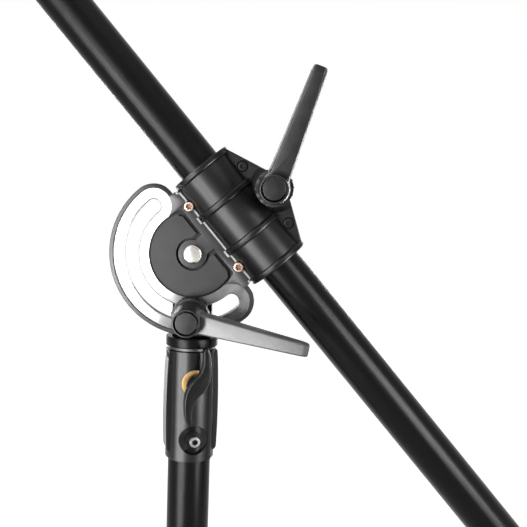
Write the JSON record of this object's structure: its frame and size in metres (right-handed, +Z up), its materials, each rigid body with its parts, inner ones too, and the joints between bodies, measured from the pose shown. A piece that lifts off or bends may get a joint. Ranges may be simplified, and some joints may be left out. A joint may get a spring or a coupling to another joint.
{
  "type": "overhead boom arm",
  "caption": "Overhead boom arm: a tilting clamp with a slotted sector plate carries a telescopic boom on a column receiver, locked by two ratchet levers.",
  "frame": {"origin": "centre of the flat lower face of the column's end plug", "axes": "+Z up along the column, +X to the right of the picture, +Y away from the viewer"},
  "size_m": [0.752, 0.1029, 0.9704],
  "materials": {
    "tube": "satin black",
    "casting": "black powder coat, slightly glossy",
    "plate": "dark grey, fine satin",
    "lever": "dark grey, matte, fine grain",
    "steel": "bright zinc",
    "zinc": "yellow zinc",
    "black_steel": "black oxide",
    "brass": "machined",
    "nylon": "off-white nylon",
    "dark_nylon": "black nylon",
    "plastic": "black moulded"
  },
  "bodies": {
    "column": {"column_plug": "plastic", "column_tube": "tube", "receiver_casting": "casting", "brass_insert": "brass", "casting_washer": "black_steel", "casting_screw": "black_steel"},
    "wing": {"wing_screw": "casting"},
    "head": {"head_yoke": "casting", "thrust_washer": "dark_nylon", "pivot_bush": "brass", "pivot_friction_washer": "dark_nylon", "lock_friction_washer": "dark_nylon", "pivot_bolt": "steel", "pivot_washer": "steel", "pivot_nut": "steel", "lock_bolt": "steel", "lock_washer": "steel"},
    "sector": {"sector_plate": "plate", "plate_screw_upper": "zinc", "plate_screw_lower": "zinc", "front_clamp_shell": "casting", "rear_clamp_shell": "casting", "ear_screw_upper": "black_steel", "ear_screw_lower": "black_steel", "clamp_bolt": "steel", "clamp_washer": "steel"},
    "sleeve": {"clamp_sleeve": "dark_nylon"},
    "boom": {"boom_tube": "tube", "rear_cap": "plastic", "weight_eye": "steel", "eye_nut": "steel", "extension_collar": "plastic"},
    "knob": {"extension_knob": "plastic"},
    "extension": {"extension_tube": "tube", "guide_bush": "nylon", "end_spigot": "steel"},
    "lock_handle_nut": {"lock_nut": "black_steel", "lock_retaining_screw": "steel"},
    "lock_handle": {"lock_lever": "lever", "lock_cap": "plastic", "lock_spring": "steel"},
    "clamp_handle_nut": {"clamp_nut": "black_steel", "clamp_retaining_screw": "steel"},
    "clamp_handle": {"clamp_lever": "lever", "clamp_cap": "plastic", "clamp_spring": "steel"}
  },
  "joints": [
    {"name": "wing_turn", "type": "hinge", "parent": "column", "child": "wing", "pos_m": [0, 0, 0.31], "axis": [0.2588, -0.9659, 0], "range_deg": [0, 180]},
    {"name": "head_swivel", "type": "hinge", "parent": "column", "child": "head", "pos_m": [0, 0, 0.31], "axis": [0, 0, -1], "continuous": true},
    {"name": "boom_tilt", "type": "hinge", "parent": "head", "child": "sector", "pos_m": [0, 0, 0.414], "axis": [0, 1, 0], "range_deg": [-138.5, 40.5]},
    {"name": "boom_spin", "type": "hinge", "parent": "sector", "child": "sleeve", "pos_m": [0.03623, -0.008, 0.44549], "axis": [0.6561, 0, -0.7547], "continuous": true},
    {"name": "boom_slide", "type": "slide", "parent": "sleeve", "child": "boom", "axis": [0.6561, 0, -0.7547], "range_m": [-0.22, 0.38]},
    {"name": "extension_slide", "type": "slide", "parent": "boom", "child": "extension", "axis": [-0.6561, 0, 0.7547], "range_m": [0, 0.6]},
    {"name": "knob_turn", "type": "hinge", "parent": "boom", "child": "knob", "pos_m": [-0.34232, 0.03, 0.88096], "axis": [0, 1, 0], "range_deg": [0, 180]},
    {"name": "lock_turn", "type": "hinge", "parent": "head", "child": "lock_handle_nut", "pos_m": [0, -0.015, 0.365], "axis": [0, -1, 0], "range_deg": [0, 70]},
    {"name": "lock_lift", "type": "slide", "parent": "lock_handle_nut", "child": "lock_handle", "axis": [0, -1, 0], "range_m": [0, 0.005], "stiffness_N_per_m": 500, "springref_m": -0.004, "deforming": ["lock_spring"]},
    {"name": "clamp_turn", "type": "hinge", "parent": "sector", "child": "clamp_handle_nut", "pos_m": [0.0634, -0.023, 0.46911], "axis": [0, -1, 0], "range_deg": [0, 80]},
    {"name": "clamp_lift", "type": "slide", "parent": "clamp_handle_nut", "child": "clamp_handle", "axis": [0, -1, 0], "range_m": [0, 0.005], "stiffness_N_per_m": 500, "springref_m": -0.004, "deforming": ["clamp_spring"]}
  ]
}
